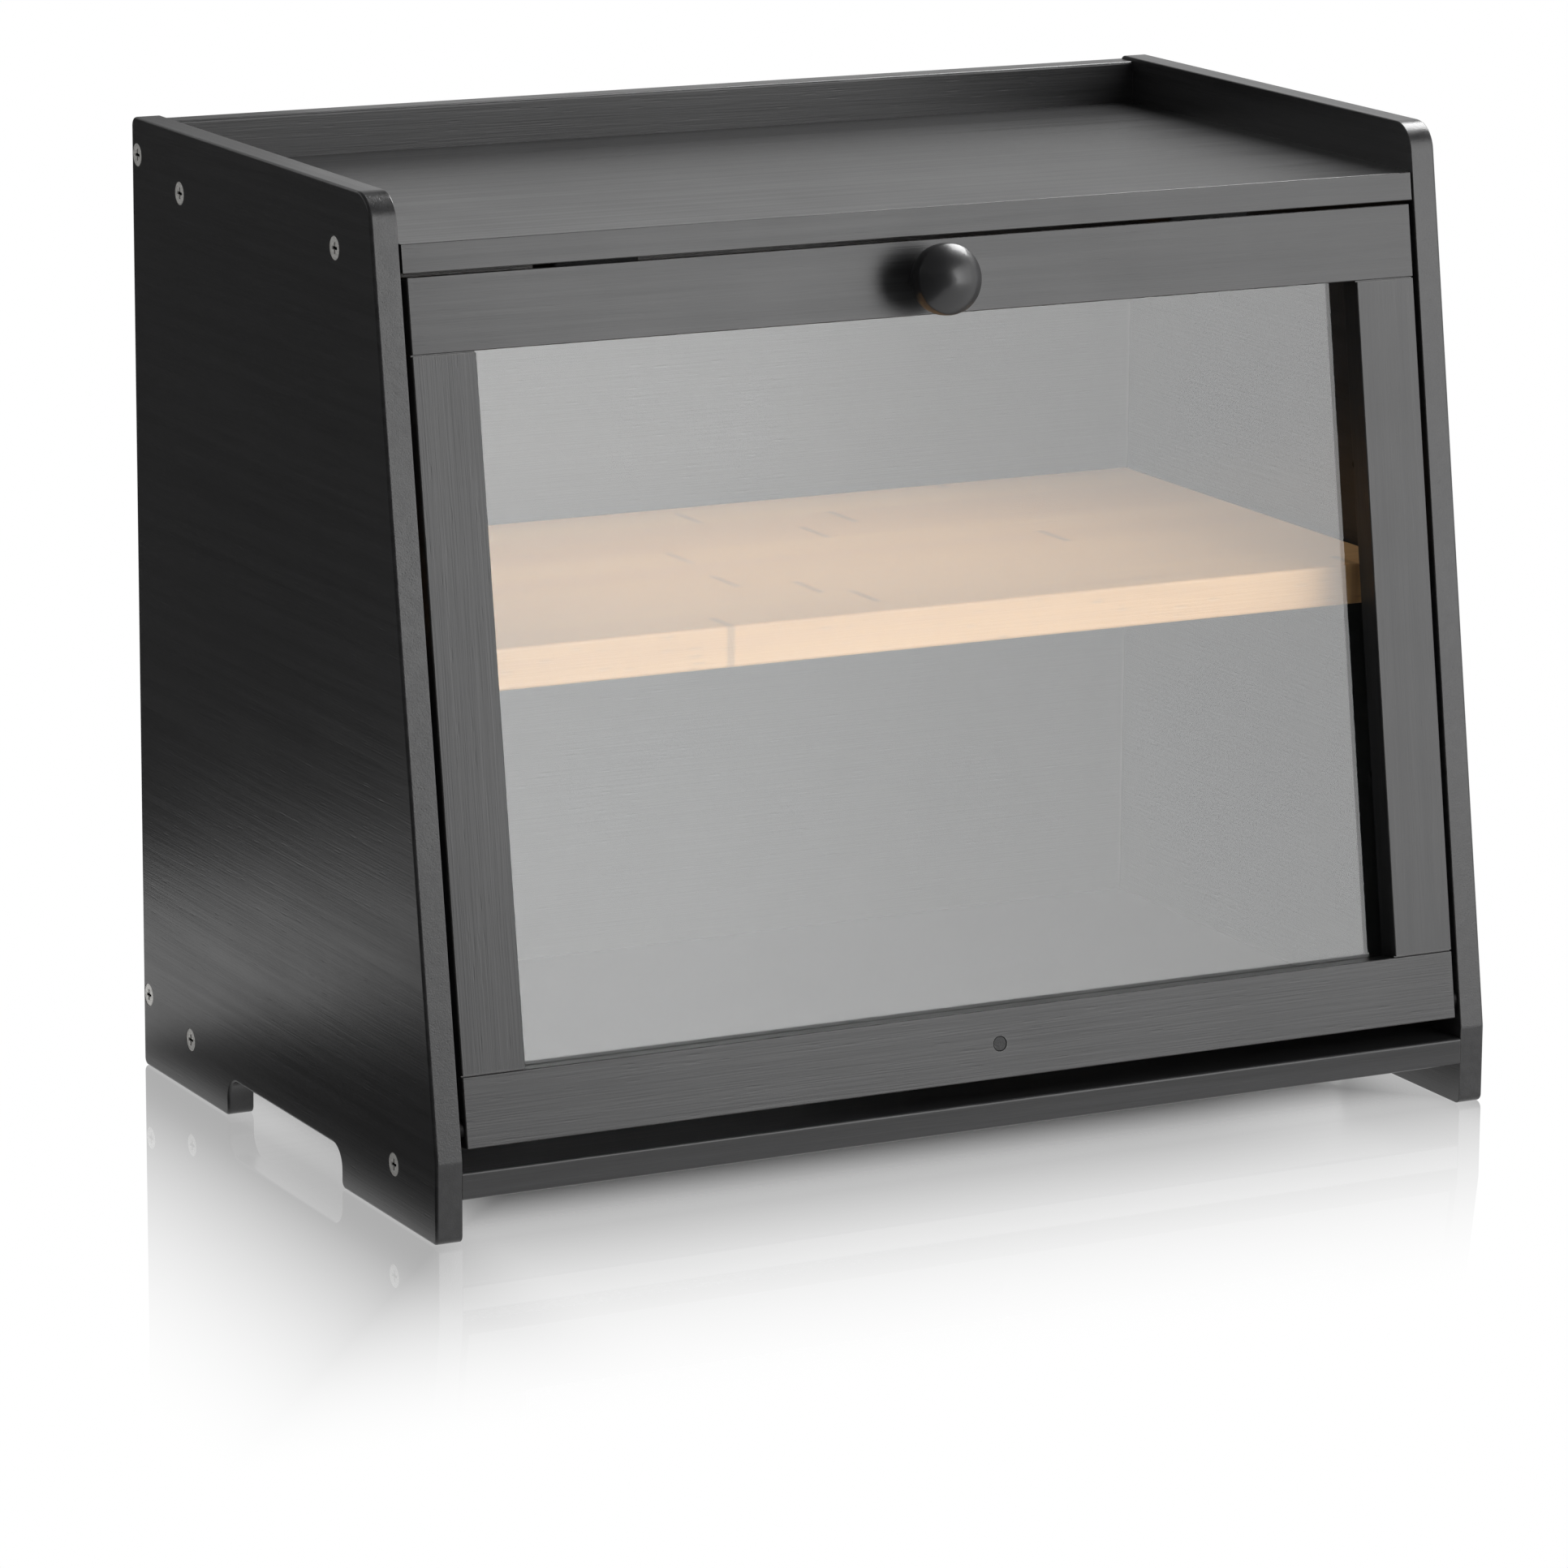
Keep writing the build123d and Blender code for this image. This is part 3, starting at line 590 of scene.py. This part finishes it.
for name in ("top_panel_screws", "bottom_panel_screws", "back_panel_screws"):
    dress(nickel_screw(name, RIGHT, both_ways=True), name)
dress(nickel_screw("catch_screws", -UP), "catch_screws")
for name in ("window_screws", "knob_screw", "left_strike_screw", "right_strike_screw"):
    dress(nickel_screw(name, -OUT_OF_DOOR), name)


# %% [markdown]
# Pins, plates and magnets. The shelf pins are ground steel, brighter than the screws and with
# rings left by the grinding wheel. The hinge pins are the same steel blackened in hot oil, so that they
# don't gleam in the gap beside the door. Strike and pole plates are zinc plated, bluish and mottled in
# patches. The magnets are pressed from dark powder, so they are dull and faintly speckled.

# %% Ground steel, zinc plate and magnet
def plain_metal(name, pale, dull, roughness, blotch):
    """A plated or ground metal. Blotch says how much its patches differ in shine."""
    material, tree, shader, place = start_material(name)
    plating = place_group(tree, plating_group, Position=place)
    scratched = maths(tree, "MULTIPLY", plating["Scratches"], 0.5)
    share = maths(tree, "MULTIPLY_ADD", plating["Mottle"], blotch, scratched)
    fill(shader.inputs["Base Color"], mix_colours(tree, share, pale, dull))
    fill(shader.inputs["Metallic"], 1.0)
    fill(shader.inputs["Roughness"], maths(tree, "MULTIPLY_ADD", share, 0.16, roughness))
    add_bump(tree, shader, plating["Scratches"], 0.003 * MM)
    return material


ground_steel = plain_metal("ground_steel", (0.64, 0.63, 0.61, 1), (0.48, 0.47, 0.46, 1), 0.24, 0.1)
black_steel = plain_metal("black_steel", (0.010, 0.010, 0.011, 1), (0.022, 0.021, 0.020, 1), 0.42, 0.3)
zinc_plate = plain_metal("zinc_plate", (0.68, 0.70, 0.73, 1), (0.50, 0.52, 0.56, 1), 0.34, 0.5)
dress(ground_steel, "left_shelf_pins", "right_shelf_pins")
dress(black_steel, "left_hinge_pin", "right_hinge_pin")
dress(zinc_plate, "left_strike_plate", "right_strike_plate")
dress(zinc_plate, "left_catch_pole_plates", "right_catch_pole_plates")


def ferrite():
    """Pressed and fired dark powder, speckled grey."""
    material, tree, shader, place = start_material("ferrite_magnet")
    plating = place_group(tree, plating_group, Position=place, Scratch_Width=0.3 * MM)
    scratched = maths(tree, "MULTIPLY", plating["Scratches"], 0.5)
    speck = maths(tree, "MULTIPLY_ADD", plating["Mottle"], 0.5, scratched)
    colour = mix_colours(tree, speck, (0.045, 0.045, 0.048, 1), (0.11, 0.11, 0.115, 1))
    fill(shader.inputs["Base Color"], colour)
    fill(shader.inputs["Metallic"], 0.35)
    fill(shader.inputs["Roughness"], maths(tree, "MULTIPLY_ADD", speck, 0.15, 0.5))
    add_bump(tree, shader, speck, 0.02 * MM)
    return material


dress(ferrite(), "left_catch_magnet", "right_catch_magnet")


# %% [markdown]
# The catch housings are moulded from black plastic in a spark-eroded mould, which leaves a fine matt
# stipple on them. A small-scale noise for the relief is enough, because they are only seen from near.

# %% Catch housings
def catch_plastic():
    """Matt black moulded plastic, paler along its edges: partly wear, partly a painted highlight."""
    material, tree, shader, place = start_material("catch_plastic")
    coat = place_group(tree, coat_group, Position=place, Ripple_Width=0.35 * MM, Cloud_Width=9 * MM)
    edge = place_group(tree, edge_group, Position=place, Width=0.5 * MM)
    colour = mix_colours(tree, coat["Clouds"], (0.024, 0.024, 0.025, 1), (0.036, 0.036, 0.037, 1))
    # paler edge colour: partly wear, partly a painted highlight
    worn_and_highlit = maths(tree, "MULTIPLY", edge["Edges"], 0.5)
    fill(shader.inputs["Base Color"], mix_colours(tree, worn_and_highlit, colour, PAINT_WORN_AND_HIGHLIGHT))
    fill(shader.inputs["Roughness"], maths(tree, "MULTIPLY_ADD", coat["Clouds"], 0.15, 0.5))
    add_bump(tree, shader, coat["Ripple"], 0.02 * MM)
    return material


dress(catch_plastic(), "left_catch_housing", "right_catch_housing")


# %% [markdown]
# The studio's floor. The box stands on a polished white sheet, with white all round it. The sheet
# could be lit until it burns out to white, but that would wash out the box too. So it is plain white
# to whatever looks at it, takes the shadow only under the box, and mirrors the box's foot. Real
# polish mirrors the whole room. This mirror fades out within a hand's width, and only the box
# shows in it: it is perfectly sharp, and the walls and cards stay white to sharply mirrored rays.
# Two black cloths lie on the sheet for the sheen of the boards alone, where a photographer
# would lay them: left of the box for its side panel, and far out in front for the knob.

# %% Floor
FLOOR_SIDE = 12.0
FLOOR_COLOUR = (0.92, 0.92, 0.92, 1)
SHADOW_INSET = 0.055
MIRROR_SHARE_FRONT = 0.48
MIRROR_SHARE_SIDE = 0.70
SIDE_BLEND = 0.02
MIRROR_FADE_FRONT = 0.1778
MIRROR_FADE_SIDE = 0.1467
MIRROR_POWER = 2.0
CLOTH_DARKNESS = 0.97
CLOTH_BESIDE = ((-0.185, -0.21), (0.175, 0.125))
CLOTH_IN_FRONT = ((0.05, -0.05), (-1.15, -1.30))


def add_rectangle(name, width, height):
    """Adds a flat rectangle round its own middle."""
    mesh = bpy.data.meshes.new(name)
    signs = ((-1, -1), (1, -1), (1, 1), (-1, 1))
    corners = [(x * width / 2, y * height / 2, 0.0) for x, y in signs]
    mesh.from_pydata(corners, [], [(0, 1, 2, 3)])
    return add_to_scene(name, mesh)


def rays_that_look(tree):
    """One for rays that see a picture: the camera's, mirrored ones and those through glass."""
    light = tree.nodes.new("ShaderNodeLightPath").outputs
    seen = maths(tree, "MAXIMUM", light["Is Camera Ray"], light["Is Glossy Ray"])
    return maths(tree, "MAXIMUM", seen, light["Is Transmission Ray"])


def rays_from_inside(tree):
    """One for rays that a board inside the box mirrored out through the window. They see black."""
    light = tree.nodes.new("ShaderNodeLightPath").outputs
    mirrored = maths(tree, "MINIMUM", light["Glossy Depth"], 1.0)
    return maths(tree, "MULTIPLY", light["Is Transmission Ray"], mirrored)


def past_edges(tree, place):
    """How far a point of the floor lies beyond the box's sides, and beyond its front or back."""
    gaps = []
    for axis, edge in zip((RIGHT, BACK), construction_box[1]):
        from_middle = maths(tree, "ABSOLUTE", along(tree, place, axis))
        gaps.append(maths(tree, "SUBTRACT", from_middle, edge))
    return gaps


def mirror_share(tree, past_side, past_front):
    """How much the sheet mirrors: most at the foot of the box, and nothing a little way out."""
    side_part = maths(tree, "DIVIDE", past_side, MIRROR_FADE_SIDE)
    front_part = maths(tree, "DIVIDE", past_front, MIRROR_FADE_FRONT)
    way_out = maths(tree, "MAXIMUM", maths(tree, "MAXIMUM", side_part, front_part), 0.0)
    left_over = maths(tree, "MAXIMUM", maths(tree, "SUBTRACT", 1.0, way_out), 0.0)
    shares = (MIRROR_SHARE_FRONT, MIRROR_SHARE_SIDE)
    most = between(tree, past_side, -SIDE_BLEND, SIDE_BLEND, *shares)
    return maths(tree, "MULTIPLY", maths(tree, "POWER", left_over, MIRROR_POWER), most)


def cloth_part(tree, place):
    """One where a black cloth lies, and only for mirrored rays."""
    x = along(tree, place, RIGHT)
    y = along(tree, place, BACK)
    beside, in_front = [
        maths(tree, "MULTIPLY", between(tree, x, *x_edge), between(tree, y, *y_edge))
        for x_edge, y_edge in (CLOTH_BESIDE, CLOTH_IN_FRONT)
    ]
    glossy = tree.nodes.new("ShaderNodeLightPath").outputs["Is Glossy Ray"]
    return maths(tree, "MULTIPLY", maths(tree, "MAXIMUM", beside, in_front), glossy)


def make_floor():
    """A white sheet that mirrors the foot of the box faintly, and goes dark under it."""
    floor = add_rectangle("studio_floor", FLOOR_SIDE, FLOOR_SIDE)
    material, tree, shader, place = start_material("studio_floor")
    fill(shader.inputs["Base Color"], FLOOR_COLOUR)
    fill(shader.inputs["Roughness"], 0.25)

    past_side, past_front = past_edges(tree, place)
    darkened = maths(tree, "MULTIPLY", cloth_part(tree, place), CLOTH_DARKNESS)
    white = glow(tree, maths(tree, "SUBTRACT", 1.0, darkened))
    sockets = {"Color": (1, 1, 1, 1), "Roughness": 0.0}
    mirror = add_node(tree, "ShaderNodeBsdfGlossy", sockets).outputs[0]
    from_camera = tree.nodes.new("ShaderNodeLightPath").outputs["Is Camera Ray"]
    mirrored = maths(tree, "MULTIPLY", mirror_share(tree, past_side, past_front), from_camera)
    sheet = mix_shaders(tree, mirrored, white, mirror)

    outside = between(tree, maths(tree, "MAXIMUM", past_side, past_front), -SHADOW_INSET, 0.0)
    share = maths(tree, "MULTIPLY", outside, rays_that_look(tree))
    surface = mix_shaders(tree, share, shader.outputs[0], sheet)
    surface = mix_shaders(tree, rays_from_inside(tree), surface, glow(tree, 0.0))
    fill(tree.nodes["Material Output"].inputs["Surface"], surface)
    floor.data.materials.append(material)


make_floor()
print("floor of", FLOOR_SIDE, "m")


# %% [markdown]
# The room round the box is white to the camera. The boards' sheen sees white walls too, with a dim
# ceiling over them, so that the tray's floor doesn't go pale. The room lights the box at a low even
# level, which a picture of a real studio could also do, but two heights and two levels are enough.

# %% World
AMBIENT = 0.36
CEILING = 0.12
WALLS_END = math.sin(math.radians(19))
CEILING_BEGINS = math.sin(math.radians(32))


def make_world():
    """White to the camera, and in reflections up to the walls' top. Over that is a dim ceiling."""
    world = bpy.data.worlds.new("studio")
    world.use_nodes = True
    tree = world.node_tree
    way = tree.nodes.new("ShaderNodeTexCoord").outputs["Generated"]
    ceiling = between(tree, along(tree, way, UP), WALLS_END, CEILING_BEGINS)
    light = tree.nodes.new("ShaderNodeLightPath").outputs
    sheen = maths(tree, "SUBTRACT", light["Is Glossy Ray"], light["Is Singular Ray"])
    dimmed = maths(tree, "MULTIPLY", ceiling, maths(tree, "MAXIMUM", sheen, 0.0))
    bright = between(tree, dimmed, 0.0, 1.0, 1.0, CEILING)
    sockets = {0: rays_that_look(tree), 2: AMBIENT, 3: bright}
    strength = add_node(tree, "ShaderNodeMix", sockets).outputs[0]
    outside = maths(tree, "SUBTRACT", 1.0, rays_from_inside(tree))
    strength = maths(tree, "MULTIPLY", strength, outside)
    background = tree.nodes["Background"]
    fill(background.inputs["Color"], (1, 1, 1, 1))
    fill(background.inputs["Strength"], strength)
    bpy.context.scene.world = world


make_world()
bpy.context.scene.view_settings.view_transform = "Standard"
print("world white to the camera, ambient", AMBIENT)


# %% [markdown]
# The lamps. Black lacquer is lit by what its sheen mirrors, so they are large and soft. One stands in
# front to the right, where the leaning front mirrors it as an even grey, and fades towards one end
# so that the grey does too. One hangs above on the right and gives the tray and the knob their
# highlights. A small one under the top panel lights the shelf as daylight through the window
# would. Point lamps would be simpler, but a sheen shows them as spots.

# %% Lamps
FADE_ENDS = 0.8


def aim_at(thing, place, aim, axis):
    """Puts a thing at a place, with this axis of its own towards the aim."""
    thing.location = place
    thing.rotation_mode = "QUATERNION"
    thing.rotation_quaternion = (Vector(aim) - Vector(place)).to_track_quat(axis, "Y")


def soft_lamp(name, place, aim, width, height, radiance, far_share=1.0):
    """A rectangular soft lamp. Its face fades across to this share of its radiance."""
    data = bpy.data.lights.new(name, "AREA")
    data.shape = "RECTANGLE"
    data.size = width
    data.size_y = height
    data.energy = radiance * math.pi * width * height
    data.use_nodes = True
    tree = data.node_tree
    across = tree.nodes.new("ShaderNodeNewGeometry").outputs["Parametric"]
    across = add_node(tree, "ShaderNodeSeparateXYZ", {0: across}).outputs["X"]
    fading = between(tree, across, 0.0, FADE_ENDS, 1.0, far_share)
    fill(tree.nodes["Emission"].inputs["Strength"], fading)
    lamp = add_to_scene(name, data)
    aim_at(lamp, place, aim, "-Z")
    lamp.visible_camera = False
    print(name, "at", place, "radiance", radiance)
    return lamp


soft_lamp("key_lamp", (1.25, -1.30, 0.65), (0, 0, 0.18), 2.0, 1.5, 4.6, far_share=0.2)
soft_lamp("overhead_lamp", (0.78, 0.25, 1.15), (0, 0, 0.30), 0.6, 0.7, 14.0)
inner_lamp = soft_lamp("shelf_lamp", (0, 0.02, 0.280), (0, 0.02, 0.1), 0.34, 0.12, 1.2)
inner_lamp.visible_glossy = False
inner_lamp.visible_transmission = False


# %% [markdown]
# A studio for black things also has cards. A card stands where a sheen should stay dark: close
# behind the box on the left, so that the side panel shows the card and not the white room, far out
# on the left and in front for the knob's dark side, and behind on the right for the tray.
# They are there for a sheen alone. The camera looks through them and they throw no shadow.

# %% Dark cards
def dark_card(name, place, aim, width, height, level):
    """A card that stands at a place and faces a point. A sheen sees it as a level of grey.
    The floor's sharp mirror sees it as white, like everything but the box."""
    card = add_rectangle(name, width, height)
    aim_at(card, place, aim, "Z")
    material, tree, shader, _ = start_material(name)
    sharp = tree.nodes.new("ShaderNodeLightPath").outputs["Is Singular Ray"]
    seen = add_node(tree, "ShaderNodeMix", {0: sharp, 2: level, 3: 1.0}).outputs[0]
    fill(tree.nodes["Material Output"].inputs["Surface"], glow(tree, seen))
    card.data.materials.append(material)
    card.visible_camera = False
    card.visible_diffuse = False
    card.visible_transmission = False
    card.visible_shadow = False
    print(name, "at", place)


dark_card("left_card", (-0.40, 0.29, 0.205), (0.05, -0.58, 0.205), 1.0, 0.41, 0.08)
dark_card("front_left_card", (-0.70, -1.80, 0.50), (0.0, 0.0, 0.50), 2.0, 1.4, 0.03)
dark_card("side_card", (-1.60, -0.60, 0.55), (0.0, 0.0, 0.45), 2.0, 1.1, 0.03)
dark_card("back_card", (0.45, 0.85, 0.65), (0.0, 0.0, 0.65), 1.2, 0.6, 0.72)
